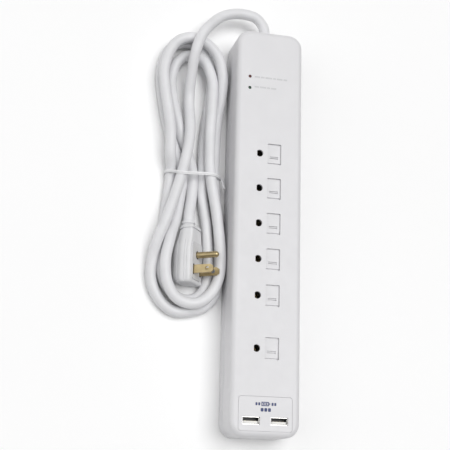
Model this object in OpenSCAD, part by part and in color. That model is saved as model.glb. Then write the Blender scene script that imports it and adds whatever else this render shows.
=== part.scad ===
// Six-outlet surge-protected power strip with sliding outlet shutters, two USB ports,
// a hanked mains cord and a flat right-angle plug.
// The strip lies on its back: +Z out of the face, +Y towards the cord end.
// Origin: the middle of the back.

/* [Case] */
// Width of the case across the face
case_w = 54; // [53:0.5:56]
// Length of the case
case_l = 320; // [318:1:324]
// Height of the case, back to face
case_h = 34; // [33:0.5:36]
// Radius of the case's corners seen from the front
corner_r = 11; // [9:0.5:13]
// Radius of the rounded edge round the face
edge_r = 4; // [3:0.5:5]
// Wall thickness
wall = 2; // [1.8:0.1:2.2]
// Height of the joint between the two covers
parting_z = 12; // [11:0.5:13]

/* [Outlets] */
// Distance between neighbouring outlets
outlet_pitch = 28; // [28:0.5:29]
// Distance from the fifth outlet to the sixth, which is set apart
last_gap = 40; // [38:1:42]
// Place of the first outlet along the case
first_outlet_y = 57; // [56:0.5:58]
// Ground hole's offset across the case
ground_x = -7.6; // [-8:0.1:-7]
// Radius of the ground hole
ground_r = 2.8; // [2.6:0.05:3]
// Distance from the ground hole to the blade slots
ground_to_blades = 11.9; // [11.9]
// Distance between the two blade slots
blade_pitch = 12.7; // [12.7]
// Width of a shutter's window
window_w = 11; // [10.5:0.5:11]
// Length of a shutter's window
window_l = 16.8; // [16:0.2:17]
// Travel of a shutter
shutter_travel = 12; // [11.5:0.5:12]

/* [USB] */
// Width of the USB panel
usb_panel_w = 41; // [40:0.5:42]
// Length of the USB panel
usb_panel_l = 25; // [24:0.5:26]
// Place of the USB panel along the case
usb_panel_y = -143; // [-144:0.5:-142]
// Distance between the two USB ports
usb_pitch = 21.6; // [21:0.2:22]

/* [Lights] */
// Place of the surge light along the case
light_y = 120; // [118:1:122]
// Distance between the two lights
light_pitch = 9.5; // [9:0.5:10]
// Offset of the lights across the case
light_x = -16.6; // [-17:0.1:-16]

/* [Mounting] */
// Distance between the two wall-mount keyholes
keyhole_pitch = 240; // [230:5:250]
// Radius of a keyhole's round part
keyhole_r = 4.2; // [4:0.1:4.5]
// Width of a keyhole's slot
keyhole_slot = 4.4; // [4:0.1:4.5]

/* [Cord and plug] */
// Diameter of the mains cord
cord_d = 8.6; // [8.4:0.1:8.8]
// Width of the plug's face
plug_w = 25; // [24.5:0.5:26]
// Thickness of the plug, back to face
plug_t = 17.5; // [17:0.5:17.5]
// Tilt of the plug as it lies on its tapered side
plug_tilt = 35; // [34:1:36]

/* [Hidden] */
$fn = 64;

eps = 0.01;
gap = 0.3;

outlet_y = [for (i = [0:4]) first_outlet_y - i * outlet_pitch,
            first_outlet_y - 4 * outlet_pitch - last_gap];
blade_x = ground_x + ground_to_blades;
window_dy = 0.1;                         // window centre, from the ground hole's line

face_t = 1.2;                            // thickness of the face over the shutters
shutter_t = 1.6;
shutter_w = window_w + 1.8;
shutter_l = window_l + 4;
shutter_top = case_h - face_t - gap;
shutter_z = shutter_top - shutter_t;

bar_z = 6;                               // underside of the bus bars
bar_t = 1;
block_z = 8.5;                           // underside of a receptacle block
block_w = 30;
block_l = 24;
block_x = -1.5;
block_top = shutter_z - gap;
contact_top = 21;

board_z = 9;                             // underside of the circuit boards
board_t = 1.6;
surge_board_y = 118;
usb_board_z = 14;
usb_port_y = -148;
usb_port_top = case_h - 1.4;

cord_z = 16;                             // height of the cord's exit from the case
cord_r = cord_d / 2;
tie_y = 41.5;
tie_w = 1.8;
tie_t = 1;

plug_at = [-51.2, -24, 15];              // middle of the plug's face, on the ground pin
plug_y = [-22.5, 24.5];                  // plug body's ends, from the ground pin
plug_cord_x = -7.5;                      // cord's place in the plug's thickness
plug_collar_l = 3;
face_plate_t = 0.8;

screw_at = [[19, 145], [-19, 145], [21, 42.2], [21, -41.8], [-19, -74], [19, -122]];

// The cord's route from the case to the plug: one point a line, chosen by hand.
// A letter in a comment names the stretch: M leads to the hank, which has three turns.
cord_points = [
    // M: out of the case, over the hank's upper end and down to its far side
    [0, 166, 16], [-2, 173, 16], [-7.5, 179, 16], [-16, 181, 16], [-26, 180, 17], [-36, 176, 18],
    [-45, 168, 20], [-53, 157, 22], [-58, 143, 22], [-60, 126, 16], [-60, 104, 9],
    [-59, 80, 12], [-61, 60, 15], [-66, 36, 15], [-76, 2, 14], [-81, -12, 12],
    // first lower turn, the outer one
    [-84, -27, 7], [-84, -43, 5], [-78, -57, 5], [-67, -66, 5], [-54, -66, 5],
    [-41, -61, 5], [-33, -49, 5],
    // up the right side, under the others
    [-32, -4, 5], [-37, 43, 6], [-36, 88, 6],
    // first upper turn, the outer one
    [-34, 108, 10], [-34, 124, 14], [-38, 141, 14], [-48, 152, 14], [-60, 156, 14],
    [-72, 151, 14], [-79, 139, 14], [-82, 122, 14],
    // down the left side
    [-75, 78, 14], [-74, 57, 12], [-72, 43, 6],
    // second lower turn, the inner one
    [-76, -2, 5], [-76, -20, 5], [-76, -37, 5], [-70, -50, 5], [-59, -57, 5],
    [-48, -55, 5], [-41, -45, 5], [-40, -29, 5],
    // up the right side
    [-42, 2, 5], [-46, 26, 5], [-46, 43, 6], [-46, 70, 5],
    // second upper turn
    [-41, 120, 5], [-43, 137, 5], [-51, 150, 5], [-64, 154, 5],
    [-76, 148, 5], [-82, 134, 5], [-82, 114, 5],
    // down the left side, under the first
    [-74, 75, 5], [-63, 43, 6], [-64, 22, 5], [-67, 5, 6.5],
    // third lower turn, on top of the second
    [-72, -12, 12.8], [-75, -30, 13.7], [-73, -46, 14], [-65, -58, 14], [-51, -61, 14],
    [-40, -54, 14], [-33, -40, 13.7],
    // up the right side, on top
    [-32, -21, 13.7], [-36, 10, 14], [-42, 43, 14], [-43, 72, 14],
    // third upper turn, the inner one
    [-42, 116, 14], [-45, 129, 13], [-51, 139, 11], [-60, 143, 7],
    [-68, 139, 5], [-73, 129, 5], [-74, 114, 5],
    // down to the plug
    [-64, 73, 5], [-58, 58, 5], [-54.5, 43, 6], [-55, 24, 7],
    [-57, 9, 10], [-57, 0.6, 10.7]
];

// ---------- shapes used more than once ----------

// A flat slab with round corners
module slab(w, l, h, r) {
    linear_extrude(h) {
        square([w - 2 * r, l], center = true);
        square([w, l - 2 * r], center = true);
        for (sx = [-1, 1], sy = [-1, 1])
            translate([sx * (w / 2 - r), sy * (l / 2 - r)]) circle(r);
    }
}

// A slab from z = 0 to z = h whose upper edge is rounded with radius e
module crowned_slab(w, l, h, r, e) {
    slab(w, l, h - e, r);
    slab(w - 2 * e, l - 2 * e, h, r - e);
    translate([0, 0, h - e]) {
        for (s = [-1, 1]) {
            translate([s * (w / 2 - e), 0, 0])
                rotate([90, 0, 0]) cylinder(r = e, h = l - 2 * r, center = true);
            translate([0, s * (l / 2 - e), 0])
                rotate([0, 90, 0]) cylinder(r = e, h = w - 2 * r, center = true);
        }
        for (sx = [-1, 1], sy = [-1, 1])
            translate([sx * (w / 2 - r), sy * (l / 2 - r), 0])
                rotate_extrude() translate([r - e, 0]) intersection() {
                    circle(e);
                    translate([0, -e]) square([e, 2 * e]);
                }
    }
}

// A block from corner to corner
module block(low, high) {
    translate(low) cube(high - low);
}

// ---------- covers ----------

// Shallow groove where the two covers meet
module seam_cut() {
    translate([0, 0, parting_z - 0.25]) difference() {
        slab(case_w + 2, case_l + 2, 0.5, corner_r + 1);
        translate([0, 0, -1]) slab(case_w - 0.8, case_l - 0.8, 3, corner_r - 0.4);
    }
}

module keyhole_cut() {
    translate([0, 0, -1]) {
        cylinder(r = keyhole_r, h = wall + 2);
        translate([0, 3.5, 0]) block([-keyhole_slot / 2, 0, 0], [keyhole_slot / 2, 4.5, wall + 2]);
        translate([0, 8, 0]) cylinder(r = keyhole_slot / 2, h = wall + 2);
    }
}

module bottom_cover() {
    color([0.93, 0.93, 0.94]) difference() {
        union() {
            difference() {
                translate([0, 0, parting_z]) mirror([0, 0, 1])
                    crowned_slab(case_w, case_l, parting_z, corner_r, 1.5);
                translate([0, 0, wall])
                    slab(case_w - 2 * wall, case_l - 2 * wall, parting_z, corner_r - wall);
            }
            // lip that enters the top cover
            difference() {
                translate([0, 0, parting_z - 2])
                    slab(case_w - 2, case_l - 2, 3.5, corner_r - 1);
                translate([0, 0, parting_z - 3])
                    slab(case_w - 2 * wall, case_l - 2 * wall, 6, corner_r - wall);
            }
            for (p = screw_at)
                translate([p[0], p[1], wall - eps]) cylinder(r = 3.4, h = parting_z - wall);
            // ribs that carry the bus bars
            for (y = [64.5, 15.5, -12.5, -40.5, -74.5, -102])
                block([-17, y - 0.8, wall - eps], [14, y + 0.8, bar_z]);
            // posts under the circuit boards
            for (x = [-13, 13], y = [surge_board_y - 22, surge_board_y + 12])
                translate([x, y, wall - eps]) cylinder(r = 2.2, h = board_z - wall);
            for (x = [-14, 14])
                translate([x, usb_panel_y + 10, wall - eps])
                    cylinder(r = 2.2, h = usb_board_z - wall);
        }
        // screw passages with sunk heads
        for (p = screw_at) translate([p[0], p[1], -1]) {
            cylinder(r = 1.7, h = parting_z + 4);
            cylinder(r = 3, h = 4);
        }
        for (s = [-1, 1]) translate([0, s * keyhole_pitch / 2, 0]) keyhole_cut();
        seam_cut();
        // lower half of the cord's gland
        translate([0, case_l / 2 - 5, cord_z]) rotate([-90, 0, 0]) cylinder(r = 6, h = 10);
    }
}

module ground_hole(h) {
    linear_extrude(h) intersection() {
        circle(ground_r);
        translate([-0.75 * ground_r, -ground_r]) square([2 * ground_r, 2 * ground_r]);
    }
}

module top_cover() {
    inner_r = corner_r - wall;
    color([0.93, 0.93, 0.94]) difference() {
        union() {
            difference() {
                translate([0, 0, parting_z])
                    crowned_slab(case_w, case_l, case_h - parting_z, corner_r, edge_r);
                translate([0, 0, parting_z - 1])
                    crowned_slab(case_w - 2 * wall, case_l - 2 * wall,
                                 case_h - wall - parting_z + 1, inner_r, edge_r - wall);
            }
            for (p = screw_at)
                block([p[0] - 3.2, p[1] - 3.2, parting_z + 0.2],
                      [p[0] + 3.2, p[1] + 3.2, case_h - wall + eps]);
        }
        // rebate for the bottom cover's lip
        translate([0, 0, parting_z - 1])
            difference() {
                slab(case_w - 1.8, case_l - 1.8, 2.7, corner_r - 0.9);
                translate([0, 0, -1]) slab(case_w - 2 * wall, case_l - 2 * wall, 5, inner_r);
            }
        for (y = outlet_y) {
            translate([ground_x, y, case_h - 5]) ground_hole(10);
            // window, and the pocket the shutter slides in
            translate([blade_x, y + window_dy, case_h - 5])
                slab(window_w, window_l, 10, 0.8);
            block([blade_x - shutter_w / 2 - 0.5, y + window_dy - shutter_l / 2 - gap, case_h - 5],
                  [blade_x + shutter_w / 2 + shutter_travel + gap,
                   y + window_dy + shutter_l / 2 + gap, case_h - face_t]);
        }
        for (i = [0, 1]) translate([light_x, light_y - i * light_pitch, case_h - 5])
            cylinder(r = 1.3, h = 10);
        // seat and opening for the USB panel
        translate([0, usb_panel_y, case_h - 1.1])
            slab(usb_panel_w + 0.4, usb_panel_l + 0.4, 2, 2.2);
        translate([0, usb_panel_y, case_h - 5])
            slab(usb_panel_w - 4, usb_panel_l - 4, 10, 1);
        for (p = screw_at) translate([p[0], p[1], parting_z - 1]) cylinder(r = 1.3, h = 12);
        seam_cut();
        // upper half of the cord's gland
        translate([0, case_l / 2 - 5, cord_z]) rotate([-90, 0, 0]) cylinder(r = 6, h = 10);
    }
}

module usb_panel() {
    color([0.91, 0.91, 0.92]) translate([0, usb_panel_y, case_h - 1.1]) difference() {
        slab(usb_panel_w, usb_panel_l, 1.05, 2);
        for (s = [-1, 1])
            translate([s * usb_pitch / 2, usb_port_y - usb_panel_y, -1])
                slab(13.4, 5.8, 4, 0.5);
    }
}

// ---------- outlets ----------

module shutter(i) {
    color([0.9, 0.9, 0.91]) translate([blade_x, outlet_y[i] + window_dy, shutter_z]) difference() {
        slab(shutter_w, shutter_l, shutter_t, 0.8);
        // two finger grooves, and a longer one by the window's lower edge
        for (y = [-3.1, -1.9])
            block([-3.4, y - 0.35, shutter_t - 1], [3.4, y + 0.35, 4]);
        block([-window_w / 2, 0.55 - window_l / 2, shutter_t - 1],
              [window_w / 2, 1.5 - window_l / 2, 4]);
    }
}

module receptacle(i) {
    color([0.2, 0.2, 0.21]) translate([0, outlet_y[i], 0]) difference() {
        union() {
            block([block_x - block_w / 2, -block_l / 2, block_z],
                  [block_x + block_w / 2, block_l / 2, block_top]);
            // collar up to the face round the ground hole
            translate([ground_x, 0, block_top - eps])
                cylinder(r = 4.2, h = case_h - wall - block_top);
        }
        translate([ground_x, 0, block_z - 1]) cylinder(r = 3.9, h = contact_top - block_z + 1.5);
        translate([ground_x, 0, block_z]) cylinder(r = 3, h = case_h);
        for (s = [-1, 1]) translate([blade_x, s * blade_pitch / 2, 0]) {
            block([-4.2, -1.05, block_z - 1], [4.2, 1.05, case_h]);
            block([-4.6, -2.6, block_z - 1], [4.6, 2.6, contact_top + 0.5]);
        }
    }
}

// A spring clip of two leaves that grips one blade
module blade_clip() {
    for (s = [-1, 1])
        block([-3.2, s * 1.5 - 0.4, bar_z + bar_t - eps], [3.2, s * 1.5 + 0.4, contact_top]);
}

module bus_bar(low_x, high_x, tab_low_x, tab_high_x, dy) {
    block([low_x, outlet_y[5] - 9, bar_z], [high_x, outlet_y[0] + 26, bar_z + bar_t]);
    for (y = outlet_y) {
        block([tab_low_x, y + dy - 2.2, bar_z], [tab_high_x, y + dy + 2.2, bar_z + bar_t]);
        if (dy != 0) translate([blade_x, y + dy, 0]) blade_clip();
    }
}

module line_bus_bar() {
    color([0.78, 0.6, 0.3])
        bus_bar(-2.6, 0.2, 0.2 - eps, blade_x + 3.2, blade_pitch / 2);
}

module neutral_bus_bar() {
    color([0.78, 0.6, 0.3])
        bus_bar(9.2, 12, blade_x - 3.2, 9.2 + eps, -blade_pitch / 2);
}

module ground_bus_bar() {
    color([0.78, 0.6, 0.3]) {
        bus_bar(-15.5, -12.7, -12.7 - eps, ground_x, 0);
        for (y = outlet_y) translate([ground_x, y, bar_z]) difference() {
            cylinder(r = 3.4, h = contact_top - bar_z);
            translate([0, 0, bar_t]) cylinder(r = 2.6, h = 30);
        }
    }
}

// ---------- electronics ----------

module surge_board() {
    color([0.1, 0.35, 0.2]) translate([0, surge_board_y - 5, board_z])
        slab(38, 50, board_t, 1);
}

module varistors() {
    color([0.15, 0.3, 0.6]) for (k = [0:2])
        translate([8, surge_board_y - 21 + k * 9, board_z + board_t + 7.5])
            rotate([90, 0, 0]) cylinder(r = 7, h = 4.5, center = true);
    color([0.15, 0.3, 0.6]) for (k = [0:2], s = [-1, 1])
        translate([8 + s * 3.5, surge_board_y - 21 + k * 9, board_z + board_t])
            cylinder(r = 0.4, h = 3);
}

module thermal_fuse() {
    color([0.85, 0.82, 0.7]) translate([-7, surge_board_y - 12, board_z + board_t + 2.2]) {
        rotate([90, 0, 0]) cylinder(r = 2, h = 11, center = true);
        rotate([90, 0, 0]) cylinder(r = 0.4, h = 18, center = true);
        for (s = [-1, 1]) translate([0, s * 8.6, -2.2]) cylinder(r = 0.4, h = 2.4);
    }
}

module filter_capacitor() {
    color([0.8, 0.65, 0.2])
        block([-12, surge_board_y + 4, board_z + board_t], [2, surge_board_y + 12, board_z + 11]);
}

module usb_board() {
    color([0.1, 0.35, 0.2]) translate([0, usb_panel_y + 2, usb_board_z])
        slab(40, 26, board_t, 1);
}

module usb_transformer() {
    color([0.75, 0.65, 0.25]) translate([0, usb_panel_y + 9, usb_board_z + board_t])
        block([-8, -5, 0], [8, 5, 11]);
}

module usb_shell(s) {
    color([0.75, 0.75, 0.77]) translate([s * usb_pitch / 2, usb_port_y, usb_board_z + board_t])
        difference() {
            block([-6.6, -2.8, 0], [6.6, 2.8, usb_port_top - usb_board_z - board_t]);
            block([-6.2, -2.4, 1], [6.2, 2.4, 30]);
        }
}

module usb_tongue(s) {
    color([0.93, 0.92, 0.88])
        translate([s * usb_pitch / 2, usb_port_y, usb_board_z + board_t + 1])
            block([-5.6, -2.1, 0], [5.6, -0.2, usb_port_top - usb_board_z - board_t - 2]);
}

module pilot_light(i, c) {
    color(c) translate([light_x, light_y - i * light_pitch, 0]) {
        translate([0, 0, board_z + board_t]) cylinder(r = 1.15, h = case_h - board_z - board_t - 0.3);
        translate([0, 0, case_h - 0.3]) intersection() {
            translate([0, 0, -1.2]) sphere(r = 1.65);
            cylinder(r = 1.15, h = 2);
        }
    }
}

// ---------- wires and fasteners ----------

// A tube of radius r round a list of points; the run stays near the horizontal
function unit(v) = v / norm(v);
function heading(p, i) = unit(p[min(i + 1, len(p) - 1)] - p[max(i - 1, 0)]);
function across(t) = unit(cross(t, [0, 0, 1]));

module tube(p, r, sides) {
    last = len(p) - 1;
    rings = [for (i = [0:last]) let (t = heading(p, i), u = across(t), v = cross(u, t))
        for (j = [0:sides - 1]) let (a = (j + 0.5) * 360 / sides)
            p[i] + r * (cos(a) * u + sin(a) * v)];
    sides_faces = [for (i = [0:last - 1], j = [0:sides - 1], half = [0, 1])
        let (k = (j + 1) % sides, a = i * sides, b = a + sides)
            half == 0 ? [a + j, b + j, a + k] : [a + k, b + j, b + k]];
    caps = [[for (j = [0:sides - 1]) j],
            [for (j = [sides - 1:-1:0]) last * sides + j]];
    polyhedron(rings, concat(sides_faces, caps), convexity = 10);
}

module line_wire() {
    color([0.1, 0.1, 0.1])
        tube([[0, 136.9, 18], [0, 135, 18.3], [-1, 130, 24], [-2, 110, 27], [-2, 96, 22],
              [-1.2, 88, 13], [-1.2, 82, 8.2]], 1.2, 8);
}

module neutral_wire() {
    color([0.95, 0.95, 0.93])
        tube([[2.8, 136.9, 14.5], [2.9, 135, 14.5], [14, 133, 14.5], [20.5, 118, 16],
              [20.5, 98, 16], [14, 88, 12.6], [10.6, 82, 8.2]], 1.2, 8);
}

module ground_wire() {
    color([0.15, 0.5, 0.25])
        tube([[-2.8, 136.9, 14.5], [-2.9, 135, 14.5], [-12, 133.5, 16], [-21.5, 125, 16],
              [-21.5, 98, 16], [-16, 88, 12.6], [-14.1, 82, 8.2]], 1.2, 8);
}

module cable_clamp() {
    color([0.6, 0.6, 0.62]) translate([0, 146, 0]) difference() {
        block([-12, -3.5, wall], [12, 3.5, cord_z + 7]);
        translate([0, 0, cord_z]) rotate([90, 0, 0]) cylinder(r = 5, h = 20, center = true);
    }
}

module case_screws() {
    color([0.55, 0.55, 0.57]) for (p = screw_at) translate([p[0], p[1], 0]) {
        translate([0, 0, 1.2]) difference() {
            cylinder(r = 2.8, h = 1.8);
            block([-1.6, -0.4, -1], [1.6, 0.4, 0.9]);
            block([-0.4, -1.6, -1], [0.4, 1.6, 0.9]);
        }
        translate([0, 0, 3 - eps]) cylinder(r = 1.25, h = 19);
    }
}

// ---------- cord, tie and plug ----------

module strain_relief() {
    color([0.92, 0.92, 0.93]) translate([0, case_l / 2, cord_z]) rotate([-90, 0, 0])
        difference() {
            union() {
                translate([0, 0, -9]) cylinder(r = 5.9, h = 9);
                translate([0, 0, -8]) cylinder(r = 7.4, h = 5.5);
                cylinder(r1 = 5.9, r2 = 4.9, h = 6);
            }
            translate([0, 0, -20]) cylinder(r = cord_r + 0.15, h = 40);
        }
}

module cord() {
    color([0.92, 0.92, 0.93]) tube(concat([[0, 137, cord_z], [0, 160, cord_z]], cord_points),
                                   cord_r, 8);
}

// Strands inside the tie: their places across the hank at tie_y
tie_strands = [[-72, 6], [-37, 6], [-42, 14], [-64.6, 15]];

module tie_outline(r) {
    hull() for (s = tie_strands) translate(s) circle(r, $fn = 32);
}

module cord_tie() {
    color([0.95, 0.95, 0.96]) translate([0, tie_y + tie_w / 2, 0]) rotate([90, 0, 0])
        linear_extrude(tie_w) difference() {
            tie_outline(cord_r + gap + tie_t);
            tie_outline(cord_r + gap);
        }
}

module plug_frame() {
    translate(plug_at) rotate([0, -plug_tilt, 0]) children();
}

// One cross-section's corner balls: w and t are the section's width and thickness
module plug_section(y, w, t, back_w, r) {
    corners = [[-r, w / 2 - r], [-7, w / 2 - r], [-t + r, back_w / 2 - r * 0.6]];
    for (c = corners, s = [-1, 1])
        translate([c[0], y, s * c[1]]) sphere(r, $fn = 24);
}

module plug_body() {
    r = 3;
    color([0.92, 0.92, 0.93]) plug_frame() difference() {
        union() {
            hull() {
                plug_section(plug_y[0] + r, plug_w, plug_t, 11.4, r);
                plug_section(4, plug_w, plug_t, 11.4, r);
                plug_section(plug_y[1] - r, 18, 13, 8, r);
            }
            translate([plug_cord_x, plug_y[1] - 1, 0])
                rotate([-90, 0, 0]) cylinder(r = 5.2, h = plug_collar_l + 1);
        }
        translate([plug_cord_x, plug_y[1], 0])
            rotate([-90, 0, 0]) cylinder(r = cord_r + 0.15, h = 20);
    }
}

module plug_face() {
    color([0.86, 0.86, 0.87]) plug_frame() rotate([0, 90, 0]) difference() {
        translate([0, -5, 0]) slab(18.5, 29, face_plate_t, 3);
        translate([0, 0, -1]) cylinder(r = 3.2, h = 4);
        for (s = [-1, 1]) translate([s * blade_pitch / 2, -ground_to_blades, -1])
            slab(3.4, 8.4, 4, 1);
    }
}

module plug_blade(s) {
    color([0.8, 0.62, 0.3]) plug_frame()
        translate([0, -ground_to_blades, s * blade_pitch / 2 - 0.75]) linear_extrude(1.5)
            difference() {
                polygon([[0, -3.15], [14.5, -3.15], [16.5, -1.8],
                         [16.5, 1.8], [14.5, 3.15], [0, 3.15]]);
                translate([11.7, 0]) circle(1.6);
            }
}

module plug_ground_pin() {
    color([0.8, 0.62, 0.3]) plug_frame() {
        rotate([0, 90, 0]) cylinder(r = 2.4, h = 16);
        translate([16, 0, 0]) sphere(r = 2.4);
    }
}

bottom_cover();
top_cover();
usb_panel();
for (i = [0:5]) {
    shutter(i);
    receptacle(i);
}
line_bus_bar();
neutral_bus_bar();
ground_bus_bar();
surge_board();
varistors();
thermal_fuse();
filter_capacitor();
usb_board();
usb_transformer();
usb_shell(-1);  // usb_shell_left
usb_shell(1);  // usb_shell_right
usb_tongue(-1);  // usb_tongue_left
usb_tongue(1);  // usb_tongue_right
pilot_light(0, [0.6, 0.15, 0.1]);  // surge_light
pilot_light(1, [0.1, 0.4, 0.15]);  // ground_light
line_wire();
neutral_wire();
ground_wire();
cable_clamp();
case_screws();
strain_relief();
cord();
cord_tie();
plug_body();
plug_face();
plug_blade(1);  // plug_line_blade
plug_blade(-1);  // plug_neutral_blade
plug_ground_pin();
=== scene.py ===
"""Looks for a six-outlet power strip: finishes for the CAD parts, the hanked cord, the plug,
the tie and the small printed and pressed details. Everything is in metres, in the CAD frame.
"""

import math

import bmesh
import bpy
from mathutils import Matrix, Vector


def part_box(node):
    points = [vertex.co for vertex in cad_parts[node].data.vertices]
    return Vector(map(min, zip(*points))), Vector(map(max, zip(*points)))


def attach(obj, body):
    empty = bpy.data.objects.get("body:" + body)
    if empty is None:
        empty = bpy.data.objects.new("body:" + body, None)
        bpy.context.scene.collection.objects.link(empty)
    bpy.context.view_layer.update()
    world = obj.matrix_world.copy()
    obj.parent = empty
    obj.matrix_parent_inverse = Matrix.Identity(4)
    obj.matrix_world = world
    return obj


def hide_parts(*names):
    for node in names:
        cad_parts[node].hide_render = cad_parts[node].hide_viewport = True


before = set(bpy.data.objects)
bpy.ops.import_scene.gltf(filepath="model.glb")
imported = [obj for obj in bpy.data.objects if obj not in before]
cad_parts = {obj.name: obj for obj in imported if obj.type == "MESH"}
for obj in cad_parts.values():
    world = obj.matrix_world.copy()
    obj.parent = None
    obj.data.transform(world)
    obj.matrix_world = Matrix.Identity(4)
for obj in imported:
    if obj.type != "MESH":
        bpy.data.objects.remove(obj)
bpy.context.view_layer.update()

MM = 0.001
BODY = "housing"
OUTLETS = range(1, 7)

CORD_RADIUS = 0.0043
CORD_EXIT = (0, 0.160, 0.016)

# The cord's route, the same points as in the CAD source, in metres
CORD_ROUTE = [
    CORD_EXIT,
    # out of the case, over the hank's upper end and down to its far side
    (0, 0.166, 0.016), (-0.002, 0.173, 0.016), (-0.0075, 0.179, 0.016), (-0.016, 0.181, 0.016),
    (-0.026, 0.180, 0.017), (-0.036, 0.176, 0.018), (-0.045, 0.168, 0.020),
    (-0.053, 0.157, 0.022), (-0.058, 0.143, 0.022), (-0.060, 0.126, 0.016),
    (-0.060, 0.104, 0.009), (-0.059, 0.080, 0.012), (-0.061, 0.060, 0.015),
    (-0.066, 0.036, 0.015), (-0.076, 0.002, 0.014), (-0.081, -0.012, 0.012),
    # first lower turn, the outer one
    (-0.084, -0.027, 0.007), (-0.084, -0.043, 0.005), (-0.078, -0.057, 0.005),
    (-0.067, -0.066, 0.005), (-0.054, -0.066, 0.005), (-0.041, -0.061, 0.005),
    (-0.033, -0.049, 0.005),
    # up the right side, under the others
    (-0.032, -0.004, 0.005), (-0.037, 0.043, 0.006), (-0.036, 0.088, 0.006),
    # first upper turn, the outer one
    (-0.034, 0.108, 0.010), (-0.034, 0.124, 0.014), (-0.038, 0.141, 0.014),
    (-0.048, 0.152, 0.014), (-0.060, 0.156, 0.014), (-0.072, 0.151, 0.014),
    (-0.079, 0.139, 0.014), (-0.082, 0.122, 0.014),
    # down the left side
    (-0.075, 0.078, 0.014), (-0.074, 0.057, 0.012), (-0.072, 0.043, 0.006),
    # second lower turn, the inner one
    (-0.076, -0.002, 0.005), (-0.076, -0.020, 0.005), (-0.076, -0.037, 0.005),
    (-0.070, -0.050, 0.005),
    (-0.059, -0.057, 0.005), (-0.048, -0.055, 0.005), (-0.041, -0.045, 0.005),
    (-0.040, -0.029, 0.005),
    # up the right side
    (-0.042, 0.002, 0.005), (-0.046, 0.026, 0.005), (-0.046, 0.043, 0.006),
    (-0.046, 0.070, 0.005),
    # second upper turn
    (-0.041, 0.120, 0.005), (-0.043, 0.137, 0.005), (-0.051, 0.150, 0.005),
    (-0.064, 0.154, 0.005), (-0.076, 0.148, 0.005), (-0.082, 0.134, 0.005),
    (-0.082, 0.114, 0.005),
    # down the left side, under the first
    (-0.074, 0.075, 0.005), (-0.063, 0.043, 0.006), (-0.064, 0.022, 0.005),
    (-0.067, 0.005, 0.0065),
    # third lower turn, on top of the second
    (-0.072, -0.012, 0.0128), (-0.075, -0.030, 0.0137), (-0.073, -0.046, 0.014),
    (-0.065, -0.058, 0.014), (-0.051, -0.061, 0.014), (-0.040, -0.054, 0.014),
    (-0.033, -0.040, 0.0137),
    # up the right side, on top
    (-0.032, -0.021, 0.0137), (-0.036, 0.010, 0.014), (-0.042, 0.043, 0.014),
    (-0.043, 0.072, 0.014),
    # third upper turn, the inner one
    (-0.042, 0.116, 0.014), (-0.045, 0.129, 0.013), (-0.051, 0.139, 0.011),
    (-0.060, 0.143, 0.007), (-0.068, 0.139, 0.005), (-0.073, 0.129, 0.005),
    (-0.074, 0.114, 0.005),
    # down to the plug
    (-0.064, 0.073, 0.005), (-0.058, 0.058, 0.005), (-0.0545, 0.043, 0.006),
    (-0.055, 0.024, 0.007), (-0.057, 0.009, 0.010), (-0.057, 0.0006, 0.0107),
]

FLOOR_HALF = 12         # half of the floor's side
GRIP_CUT = 0.0005       # depth of the grooves down the plug's sides
GRIP_HALF = 0.00045     # half of such a groove's width
SHOULDER_CUT = 0.0009   # depth of the groove round the plug's shoulder
PRINT_HALF = 0.00005    # half of the thickness of printed marks

# The plug's own axes: X out of its face, Y towards the cord, origin on the ground pin
PLUG_PLACE = (
    Matrix.Translation((-0.0512, -0.024, 0.015)) @ Matrix.Rotation(math.radians(-35), 4, "Y")
)


# ---------- camera, floor and light ----------

def make_camera():
    data = bpy.data.cameras.new("camera")
    data.sensor_width = 36
    data.lens = 83.17
    camera = bpy.data.objects.new("camera", data)
    camera.location = (-0.219, -0.197, 0.775)
    camera.rotation_euler = (0.2426, -0.2506, 0.0249)
    bpy.context.scene.collection.objects.link(camera)
    bpy.context.scene.camera = camera


def soft_sun(name, towards, spread, strength):
    """Even light from the direction towards; spread is the angle its source fills."""
    data = bpy.data.lights.new(name, "SUN")
    data.angle = math.radians(spread)
    data.energy = strength
    light = bpy.data.objects.new(name, data)
    light.rotation_euler = Vector(towards).to_track_quat("Z", "Y").to_euler()
    light.location = Vector(towards)
    bpy.context.scene.collection.objects.link(light)


def make_studio():
    bpy.context.scene.view_settings.view_transform = "Standard"
    world = bpy.data.worlds.new("studio")
    world.use_nodes = True
    sky = world.node_tree.nodes["Background"]
    sky.inputs["Color"].default_value = (1, 1, 1, 1)
    sky.inputs["Strength"].default_value = 0.22
    bpy.context.scene.world = world

    soft_sun("key", (0.20, 0.14, 1.0), 44, 2.0)
    soft_sun("fill", (-1.0, 0.20, 0.9), 60, 0.7)

    bm = bmesh.new()
    bmesh.ops.create_grid(bm, x_segments=8, y_segments=8, size=FLOOR_HALF)
    floor = bpy.data.objects.new("floor", bpy.data.meshes.new("floor"))
    bm.to_mesh(floor.data)
    bm.free()
    bpy.context.scene.collection.objects.link(floor)
    floor.data.materials.append(surface("floor_paper", (0.99, 0.99, 0.99), 0.9,
                                        tone=0.01, patch=3, relief=0.00001))


# ---------- materials ----------

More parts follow.
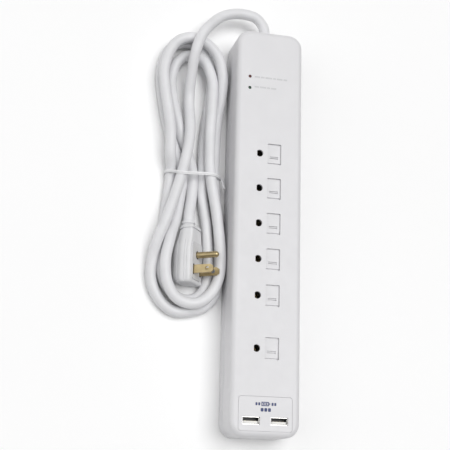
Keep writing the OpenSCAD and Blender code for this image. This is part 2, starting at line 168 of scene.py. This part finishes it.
def surface(name, colour, rough, tone=0.03, patch=30, grain=1800, relief=0.00003, swell=0.00003,
            swell_scale=90, spread=0.05, stretch=(1, 1, 1), sockets=None):
    """A finish whose colour drifts slowly by tone, with a fine grain in its height and gloss."""
    mat = bpy.data.materials.new(name)
    mat.use_nodes = True
    nodes, links = mat.node_tree.nodes, mat.node_tree.links
    shader = nodes["Principled BSDF"]
    for socket, value in (sockets or {}).items():
        shader.inputs[socket].default_value = value

    place = nodes.new("ShaderNodeTexCoord")
    mapping = nodes.new("ShaderNodeMapping")
    mapping.inputs["Scale"].default_value = stretch
    links.new(place.outputs["Object"], mapping.inputs["Vector"])

    drift = nodes.new("ShaderNodeTexNoise")
    drift.inputs["Scale"].default_value = patch
    drift.inputs["Detail"].default_value = 4
    links.new(place.outputs["Object"], drift.inputs["Vector"])
    ramp = nodes.new("ShaderNodeValToRGB")
    ramp.color_ramp.elements[0].position = 0.3
    ramp.color_ramp.elements[1].position = 0.7
    ramp.color_ramp.elements[0].color = [c * (1 - tone) for c in colour] + [1]
    ramp.color_ramp.elements[1].color = [min(1, c * (1 + tone * 0.5)) for c in colour] + [1]
    links.new(drift.outputs["Fac"], ramp.inputs["Fac"])
    links.new(ramp.outputs["Color"], shader.inputs["Base Color"])

    # the grain of the mould or the metal, on top of a slow unevenness
    normal = None
    for scale, height in ((swell_scale, swell), (grain, relief)):
        noise = nodes.new("ShaderNodeTexNoise")
        noise.inputs["Scale"].default_value = scale
        noise.inputs["Detail"].default_value = 4
        links.new(mapping.outputs["Vector"], noise.inputs["Vector"])
        bump = nodes.new("ShaderNodeBump")
        bump.inputs["Strength"].default_value = 1.0
        bump.inputs["Distance"].default_value = height
        links.new(noise.outputs["Fac"], bump.inputs["Height"])
        if normal:
            links.new(normal, bump.inputs["Normal"])
        normal = bump.outputs["Normal"]
    links.new(normal, shader.inputs["Normal"])

    # gloss follows handling marks a few millimetres across
    marks = nodes.new("ShaderNodeTexNoise")
    marks.inputs["Scale"].default_value = 220
    marks.inputs["Detail"].default_value = 6
    links.new(mapping.outputs["Vector"], marks.inputs["Vector"])
    gloss = nodes.new("ShaderNodeMapRange")
    gloss.inputs["From Min"].default_value = 0.3
    gloss.inputs["From Max"].default_value = 0.7
    gloss.inputs["To Min"].default_value = rough - spread
    gloss.inputs["To Max"].default_value = rough + spread
    links.new(marks.outputs["Fac"], gloss.inputs["Value"])
    links.new(gloss.outputs["Result"], shader.inputs["Roughness"])
    return mat


SOFT_WHITE = {"Subsurface Weight": 0.08, "Subsurface Radius": (0.002, 0.002, 0.0018),
              "Subsurface Scale": 1.0, "Specular IOR Level": 0.45}
METAL = {"Metallic": 1.0}


def make_finishes():
    """One material for each of the record's slots, and two for printing."""
    return {
        "case_plastic": surface("case_plastic", (0.72, 0.715, 0.73), 0.42, 0.02,
                                grain=1500, relief=0.00005, sockets=SOFT_WHITE),
        "panel_plastic": surface("panel_plastic", (0.69, 0.685, 0.70), 0.34, 0.012,
                                 grain=2400, sockets=SOFT_WHITE),
        "shutter_plastic": surface("shutter_plastic", (0.69, 0.685, 0.70), 0.36, 0.015,
                                   grain=2400, sockets=SOFT_WHITE),
        "receptacle_plastic": surface("receptacle_plastic", (0.03, 0.03, 0.032), 0.5, 0.2,
                                      patch=120),
        "brass": surface("brass", (0.56, 0.45, 0.25), 0.38, 0.14, patch=220, grain=2600,
                         relief=0.00001, spread=0.08, stretch=(0.08, 1, 1), sockets=METAL),
        "circuit_board": surface("circuit_board", (0.03, 0.20, 0.09), 0.35, 0.25, patch=160,
                                 sockets={"Coat Weight": 0.5}),
        "varistor_coating": surface("varistor_coating", (0.04, 0.12, 0.42), 0.4, 0.12,
                                    patch=300, grain=900, relief=0.00006),
        "fuse_ceramic": surface("fuse_ceramic", (0.75, 0.70, 0.56), 0.5, 0.08, patch=300),
        "capacitor_case": surface("capacitor_case", (0.72, 0.52, 0.10), 0.4, 0.05, patch=100),
        "transformer_tape": surface("transformer_tape", (0.68, 0.50, 0.12), 0.28, 0.12,
                                    patch=150, grain=500, stretch=(0.1, 0.1, 1)),
        "nickel_shell": surface("nickel_shell", (0.66, 0.65, 0.63), 0.27, 0.06, patch=200,
                                grain=2600, relief=0.00001, stretch=(1, 1, 0.08), sockets=METAL),
        "port_plastic": surface("port_plastic", (0.80, 0.79, 0.76), 0.38, 0.03, patch=150,
                                sockets=SOFT_WHITE),
        "red_lens": surface("red_lens", (0.10, 0.012, 0.010), 0.16, 0.2, patch=500,
                            sockets={"Coat Weight": 0.6}),
        "green_lens": surface("green_lens", (0.010, 0.055, 0.022), 0.16, 0.2, patch=500,
                              sockets={"Coat Weight": 0.6}),
        "black_insulation": surface("black_insulation", (0.02, 0.02, 0.02), 0.45, 0.2),
        "white_insulation": surface("white_insulation", (0.78, 0.78, 0.76), 0.45, 0.05),
        "green_insulation": surface("green_insulation", (0.03, 0.30, 0.10), 0.45, 0.1),
        "clamp_plastic": surface("clamp_plastic", (0.35, 0.35, 0.36), 0.5, 0.1),
        "screw_steel": surface("screw_steel", (0.56, 0.55, 0.54), 0.32, 0.1, patch=400,
                               grain=2600, spread=0.1, sockets=METAL),
        "cord_vinyl": surface("cord_vinyl", (0.76, 0.76, 0.775), 0.44, 0.05, patch=60,
                              grain=900, relief=0.00006, swell=0.00030, swell_scale=70,
                              spread=0.09, sockets=SOFT_WHITE),
        "tie_plastic": surface("tie_plastic", (0.82, 0.82, 0.83), 0.35, 0.02, patch=100,
                               grain=900, relief=0.00005, sockets=SOFT_WHITE),
        "plug_vinyl": surface("plug_vinyl", (0.77, 0.77, 0.78), 0.46, 0.04, patch=80,
                              grain=1300, relief=0.00006, swell=0.00015, spread=0.07,
                              sockets=SOFT_WHITE),
        "plug_face_plastic": surface("plug_face_plastic", (0.68, 0.68, 0.69), 0.4, 0.03,
                                     patch=120, sockets=SOFT_WHITE),
        "blue_print": surface("blue_print", (0.035, 0.05, 0.16), 0.5, 0.15, patch=400),
        "grey_print": surface("grey_print", (0.60, 0.60, 0.61), 0.5, 0.04, patch=400),
    }


NODE_FINISH = {
    "bottom_cover": "case_plastic", "top_cover": "case_plastic", "usb_panel": "panel_plastic",
    "line_bus_bar": "brass", "neutral_bus_bar": "brass", "ground_bus_bar": "brass",
    "surge_board": "circuit_board", "usb_board": "circuit_board",
    "varistors": "varistor_coating", "thermal_fuse": "fuse_ceramic",
    "filter_capacitor": "capacitor_case", "usb_transformer": "transformer_tape",
    "usb_shell_left": "nickel_shell", "usb_shell_right": "nickel_shell",
    "usb_tongue_left": "port_plastic", "usb_tongue_right": "port_plastic",
    "surge_light": "red_lens", "ground_light": "green_lens",
    "line_wire": "black_insulation", "neutral_wire": "white_insulation",
    "ground_wire": "green_insulation", "cable_clamp": "clamp_plastic",
    "case_screws": "screw_steel", "plug_face": "plug_face_plastic",
    "plug_line_blade": "brass", "plug_neutral_blade": "brass", "plug_ground_pin": "brass",
}
for outlet in OUTLETS:
    NODE_FINISH[f"outlet_shutter_{outlet}"] = "shutter_plastic"
    NODE_FINISH[f"receptacle_{outlet}"] = "receptacle_plastic"


def soften_edges(obj, width):
    """Breaks the sharp edges of a moulded or stamped part, so that they catch the light."""
    bevel = obj.modifiers.new("edge_break", "BEVEL")
    bevel.width = width
    bevel.segments = 2
    bevel.limit_method = "ANGLE"
    bevel.angle_limit = math.radians(40)


def dress_nodes(finishes):
    for name, slot in NODE_FINISH.items():
        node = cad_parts[name]
        node.data.materials.clear()
        node.data.materials.append(finishes[slot])
    for name in ("usb_panel", "plug_face", "plug_line_blade", "plug_neutral_blade"):
        soften_edges(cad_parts[name], 0.00025)
    for outlet in OUTLETS:
        soften_edges(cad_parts[f"outlet_shutter_{outlet}"], 0.0002)


# ---------- mesh helpers ----------

def add_piece(name, bm, material, replaced=(), smooth=True):
    bmesh.ops.recalc_face_normals(bm, faces=bm.faces)
    mesh = bpy.data.meshes.new(name)
    bm.to_mesh(mesh)
    bm.free()
    obj = bpy.data.objects.new(name, mesh)
    bpy.context.scene.collection.objects.link(obj)
    mesh.materials.append(material)
    if smooth:
        mesh.shade_smooth()
        mesh.set_sharp_from_angle(angle=math.radians(38))
    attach(obj, BODY)
    if replaced:
        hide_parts(*replaced)
    return obj


def loft(bm, rings, closed=False):
    """Skins rings of the same number of points; closed joins the last ring to the first."""
    rows = [[bm.verts.new(p) for p in ring] for ring in rings]
    pairs = list(zip(rows, rows[1:]))
    if closed:
        pairs.append((rows[-1], rows[0]))
    for low, high in pairs:
        for i in range(len(low)):
            k = (i + 1) % len(low)
            bm.faces.new((low[i], low[k], high[k], high[i]))
    if not closed:
        bm.faces.new(rows[0])
        bm.faces.new(list(reversed(rows[-1])))


def turned(bm, profile, place, sides=48):
    """Turns a closed profile of (distance along, radius) round local Y."""
    rings = []
    for along, radius in profile:
        rings.append([
            place @ Vector((radius * math.cos(a), along, radius * math.sin(a)))
            for a in (2 * math.pi * k / sides for k in range(sides))
        ])
    loft(bm, rings, closed=True)


def rounded_outline(corners, radii, steps=6):
    """A polygon with its corners rounded, as points in order.

    A rounding takes just under half of the shorter edge beside it at most.
    """
    points = []
    for i, corner in enumerate(corners):
        corner = Vector(corner)
        back = Vector(corners[i - 1]) - corner
        ahead = Vector(corners[(i + 1) % len(corners)]) - corner
        reach = min(radii[i] / math.tan(back.angle(ahead) / 2),
                    0.48 * back.length, 0.48 * ahead.length)
        start, end = corner + back.normalized() * reach, corner + ahead.normalized() * reach
        for k in range(steps + 1):
            t = k / steps
            points.append(start * (1 - t) ** 2 + corner * (2 * t * (1 - t)) + end * t ** 2)
    return points


def smooth_loop(points, per=6):
    """A closed Catmull-Rom curve through the points."""
    found = []
    for i in range(len(points)):
        a, b, c, d = (Vector(points[(i + k) % len(points)]) for k in (-1, 0, 1, 2))
        for k in range(per):
            t = k / per
            found.append(0.5 * (2 * b + (c - a) * t + (2 * a - 5 * b + 4 * c - d) * t ** 2
                                + (3 * b - a - 3 * c + d) * t ** 3))
    return found


# ---------- cord, tie and plug ----------

def make_cord(finishes):
    data = bpy.data.curves.new("mains_cord", "CURVE")
    data.dimensions = "3D"
    data.bevel_depth = CORD_RADIUS
    data.bevel_resolution = 6
    data.resolution_u = 8
    data.use_fill_caps = True
    spline = data.splines.new("BEZIER")
    spline.bezier_points.add(len(CORD_ROUTE) - 1)
    route = [Vector(p) for p in CORD_ROUTE]
    last = len(route) - 1
    for i, knot in enumerate(spline.bezier_points):
        before, here, after = route[max(i - 1, 0)], route[i], route[min(i + 1, last)]
        way = (after - before).normalized()
        if i == 0:
            way = Vector((0, 1, 0))
        knot.handle_left_type = knot.handle_right_type = "FREE"
        knot.co = here
        knot.handle_left = here - way * (here - before).length / 3
        knot.handle_right = here + way * (after - here).length / 3
    cord = bpy.data.objects.new("mains_cord", data)
    bpy.context.scene.collection.objects.link(cord)
    data.materials.append(finishes["cord_vinyl"])
    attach(cord, BODY)
    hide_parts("cord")
    return cord


def make_strain_relief(finishes):
    """A tapered boot with ribs, and the flange that the covers hold."""
    bore = CORD_RADIUS + 0.00012
    profile = [(-0.009, bore), (-0.009, 0.0057), (-0.0081, 0.0059), (-0.008, 0.0072),
               (-0.0078, 0.0074), (-0.0027, 0.0074), (-0.0025, 0.0072), (-0.0024, 0.0059),
               (-0.0003, 0.0059), (0.0, 0.0055)]
    for k in range(3):
        start = 0.0002 + k * 0.0018
        rib = 0.0058 - start / 0.006 * 0.0009
        profile += [(start + 0.0001, rib - 0.0004), (start + 0.0003, rib),
                    (start + 0.0012, rib - 0.00015), (start + 0.0014, rib - 0.0005)]
    profile += [(0.0057, 0.0048), (0.006, 0.0046), (0.006, bore)]
    bm = bmesh.new()
    turned(bm, profile, Matrix.Translation(CORD_EXIT))
    add_piece("ribbed_strain_relief", bm, finishes["cord_vinyl"],
              ("strain_relief",))


def grip_grooves(start, end, places, cut):
    """Points of grooves cut into a straight stretch, at places given as fractions of it."""
    way = end - start
    inward = Vector((-way.y, way.x)).normalized()
    half = GRIP_HALF * way.normalized()
    points = []
    for place in places:
        middle = start + way * place
        points += [middle - half, middle - 0.6 * half + inward * cut,
                   middle + 0.6 * half + inward * cut, middle + half]
    return points


def plug_ring(along, inset, width, back_width, depth, cut):
    """One cross-section of the plug, pulled in by inset, with its grip grooves cut in by cut."""
    w, b, d = width / 2 - inset, back_width / 2 - inset, depth - inset
    ridge = 0.008
    corners = [(-inset, w), (-ridge, w), (-d, b), (-d, -b), (-ridge, -w), (-inset, -w)]
    radii = [0.0022, 0.005, 0.0042, 0.0042, 0.005, 0.0022]
    outline = rounded_outline(corners, radii)
    per = len(outline) // len(corners)
    # two grooves on each broad side and one on each sloping side
    stretches = [(0.25, 0.75), (0.4,), (), (0.6,), (0.25, 0.75), ()]
    points = []
    for i, places in enumerate(stretches):
        points += outline[i * per:(i + 1) * per]
        points += grip_grooves(points[-1], outline[(i + 1) * per % len(outline)], places, cut)
    return [PLUG_PLACE @ Vector((x, along, z)) for x, z in points]


def make_plug(finishes):
    # width, width of the back, depth
    full = (0.025, 0.0114, 0.0175)
    slim = (0.018, 0.0080, 0.013)
    back_turn, back_length = -0.0145, 0.008
    edge_turn, edge_length = -0.0199, 0.0026
    rings = []
    # the lower end: the back rounds off over 8 mm, and the edges over the last 2.6 mm
    for along in (-0.0225, -0.0223, -0.0218, -0.0210, -0.0199, -0.0185, -0.0168, -0.0145):
        sweep = 1 - math.sqrt(1 - ((back_turn - along) / back_length) ** 2)
        edge = 1 - math.sqrt(1 - (max(0, edge_turn - along) / edge_length) ** 2)
        width, back, depth = full
        rings.append(plug_ring(along, 0.0023 * edge, width, back - 0.004 * sweep,
                               depth - 0.005 * sweep, GRIP_CUT * (1 - edge)))
    # the taper towards the cord, where the grip grooves run out
    for k in range(8):
        t = k / 8
        blend = t * t * (3 - 2 * t)
        sizes = [a + (b - a) * blend for a, b in zip(full, slim)]
        rings.append(plug_ring(0.002 + 0.0195 * t, 0, *sizes, GRIP_CUT * max(0, 1 - 2 * t)))
    # a groove round the shoulder, then the rounded upper end
    for along, inset in ((0.0196, 0), (0.0198, SHOULDER_CUT), (0.0205, SHOULDER_CUT),
                         (0.0207, 0), (0.0215, 0)):
        rings.append(plug_ring(along, inset, *slim, 0))
    for k in range(1, 5):
        a = k / 4 * math.pi / 2
        rings.append(plug_ring(0.0215 + 0.0025 * math.sin(a), 0.0025 * (1 - math.cos(a)),
                               *slim, 0))
    bm = bmesh.new()
    loft(bm, rings)
    collar = [(0.020, 0.0044), (0.0238, 0.0052), (0.0242, 0.0052), (0.0243, 0.0045),
              (0.0252, 0.0045), (0.0253, 0.0053), (0.0270, 0.0051), (0.0275, 0.0046),
              (0.0275, 0.00435), (0.022, 0.00435)]
    turned(bm, collar, PLUG_PLACE @ Matrix.Translation((-0.0075, 0, 0)))
    return add_piece("right_angle_plug", bm, finishes["plug_vinyl"],
                     ("plug_body",))


def make_tie(finishes):
    """A flat twist tie round the hank, with a wire bead along its middle and twisted ends."""
    loop = [(-36.2, 42.0, 1.0), (-32.6, 41.6, 3.6), (-32.0, 41.2, 7.2), (-33.6, 41.0, 11.0),
            (-37.2, 40.8, 16.6), (-41.0, 40.8, 18.8), (-46.0, 41.0, 18.6), (-52.0, 41.0, 17.9),
            (-58.0, 40.4, 18.9), (-63.0, 39.8, 19.8), (-67.2, 40.2, 19.0), (-69.6, 41.0, 16.8),
            (-73.4, 42.6, 11.8), (-76.6, 43.0, 7.6), (-76.4, 42.8, 3.4), (-73.0, 42.4, 1.0),
            (-64.0, 42.0, 0.9), (-54.0, 42.0, 0.9), (-45.0, 42.0, 0.9)]
    path = smooth_loop([Vector(p) * MM for p in loop])
    strip = [(-0.0012, 0), (-0.0012, 0.0003), (-0.0005, 0.0004), (-0.00025, 0.0008),
             (0.00025, 0.0008), (0.0005, 0.0004), (0.0012, 0.0003), (0.0012, 0)]
    bm = bmesh.new()
    rings = []
    for i, here in enumerate(path):
        way = (path[(i + 1) % len(path)] - path[i - 1]).normalized()
        out = Vector((0, 1, 0)).cross(way)
        rings.append([here + Vector((0, 1, 0)) * across + out * height
                      for across, height in strip])
    loft(bm, rings, closed=True)
    for side in (0, math.pi):
        tube(bm, tie_twist(side, 0, 1), 0.00055)
    tie = add_piece("twist_tie", bm, finishes["tie_plastic"], ("cord_tie",))
    bm = bmesh.new()
    for side in (0, math.pi):
        tube(bm, tie_twist(side, 0.94, 1.12), 0.0003)
    tips = add_piece("tie_wire_tips", bm, finishes["screw_steel"])
    return tie, tips


def tie_twist(side, start, end):
    """Middle line of one of the tie's two ends, which are twisted round each other."""
    points = []
    for k in range(41):
        t = start + (end - start) * k / 40
        a = side + t * 5 * math.pi
        middle = Vector((-0.0318 + 0.0016 * t, 0.0405 - 0.009 * t, 0.0095 + 0.0040 * t))
        points.append(middle + 0.0006 * Vector((math.cos(a), 0, math.sin(a))))
    return points


def tube(bm, points, radius, sides=10):
    """A round wire that runs mostly along Y."""
    loft(bm, [[p + radius * Vector((math.cos(b), 0, math.sin(b)))
               for b in (2 * math.pi * j / sides for j in range(sides))] for p in points])


# ---------- small details on the face ----------

def cad_node_top(name):
    """Height of the highest point of a CAD node."""
    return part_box(name)[1].z


def printed(name, marks, height, material):
    """Flat printed marks, each (low x, low y, high x, high y) in mm, with cut corners."""
    bm = bmesh.new()
    for low_x, low_y, high_x, high_y in marks:
        cut = min(high_x - low_x, high_y - low_y) * 0.3
        corners = [(low_x, low_y), (high_x, low_y), (high_x, high_y), (low_x, high_y)]
        outline = rounded_outline([Vector(c) * MM for c in corners], [cut * MM] * 4, steps=3)
        loft(bm, [[Vector((p.x, p.y, z)) for p in outline]
                  for z in (height - PRINT_HALF, height + PRINT_HALF)])
    return add_piece(name, bm, material, smooth=False)


def make_details(finishes):
    face = cad_node_top("top_cover")
    panel = cad_node_top("usb_panel")
    # a battery between two pairs of bars, and three charge bars under it
    symbol = [(-3.2, -137.3, 2.6, -136.6), (-3.2, -134.9, 2.6, -134.2),
              (-3.2, -136.6, -2.5, -134.9), (1.9, -136.6, 2.6, -134.9),
              (2.8, -136.5, 3.5, -135.0), (-2.1, -136.3, -0.6, -135.2),
              (-0.2, -136.3, 1.4, -135.2)]
    symbol += [(x, -136.9, x + 1.5, -134.7) for x in (-7.7, -5.6, 4.6, 6.7)]
    symbol += [(x, -141.3, x + 2.2, -138.7) for x in (-3.7, -0.9, 1.9)]
    printed("charging_symbol", symbol, panel, finishes["blue_print"])
    dashes = []
    for low_y, widths in ((119.4, (4.4, 3.0, 5.6, 2.4, 4.8, 3.2)), (111.0, (3.6, 5.2, 2.6, 4.4))):
        x = -12.8
        for width in widths:
            dashes.append((x, low_y, x + width, low_y + 1.3))
            x += width + 0.7
    printed("light_captions", dashes, face, finishes["grey_print"])
    for side in ("left", "right"):
        low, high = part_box(f"usb_tongue_{side}")
        middle = (low.x + high.x) / 2
        bm = bmesh.new()
        for k in (-1.5, -0.5, 0.5, 1.5):
            x = middle + k * 0.0024
            outline = [(x - 0.0005, high.y - 0.0001), (x + 0.0005, high.y - 0.0001),
                       (x + 0.0005, high.y + 0.00015), (x - 0.0005, high.y + 0.00015)]
            rings = [[Vector((px, py, high.z - 0.0009 - drop)) for px, py in outline]
                     for drop in (0, 0.007)]
            loft(bm, rings)
        add_piece(f"usb_contacts_{side}", bm, finishes["brass"], smooth=False)


def make_port_shade_liners(finishes):
    """A dark liner with a floor inside each USB shell, stopping short of its rim: painted shade
    for the deep inside of the port.
    """
    for side in ("left", "right"):
        low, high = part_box(f"usb_shell_{side}")
        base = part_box(f"usb_tongue_{side}")[0].z
        outline = []
        for inset in (0.00043, 0.0006):
            outline.append([(low.x + inset, low.y + inset), (high.x - inset, low.y + inset),
                            (high.x - inset, high.y - inset), (low.x + inset, high.y - inset)])
        outer, inner = outline
        rings = []
        floor = high.z - 0.006
        for ring, level in ((outer, base), (outer, high.z - 0.0007), (inner, high.z - 0.0007),
                            (inner, floor)):
            rings.append([Vector((x, y, level)) for x, y in ring])
        bm = bmesh.new()
        loft(bm, rings)
        # the liner's near-black colour is painted shade inside the port
        add_piece(f"usb_shade_liner_{side}", bm, finishes["receptacle_plastic"],
                  smooth=False)


def make_prong_dark_pads(finishes):
    """Dark pads in the openings round the foot of each prong, sunk below the plug's face, which
    keep these openings dark.
    """
    outlines = [[(3.1 * MM * math.cos(a), 3.1 * MM * math.sin(a))
                 for a in (2 * math.pi * k / 32 for k in range(32))]]
    for side in (-1, 1):
        middle = Vector((-0.0119, side * 0.00635))
        corners = [middle + Vector(c) * MM for c in ((-4.1, -1.6), (4.1, -1.6), (4.1, 1.6),
                                                     (-4.1, 1.6))]
        outlines.append([tuple(p) for p in rounded_outline(corners, [0.0009] * 4, steps=4)])
    bm = bmesh.new()
    for outline in outlines:
        loft(bm, [[PLUG_PLACE @ Vector((x, y, z)) for y, z in outline]
                  for x in (-0.0002, 0.0001, 0.0003)])
    return add_piece("prong_dark_pads", bm, finishes["receptacle_plastic"],
                     smooth=False)


make_camera()
finishes = make_finishes()
make_studio()
dress_nodes(finishes)
cord = make_cord(finishes)
make_strain_relief(finishes)
plug = make_plug(finishes)
tie, tie_tips = make_tie(finishes)
prong_pads = make_prong_dark_pads(finishes)
make_port_shade_liners(finishes)
make_details(finishes)
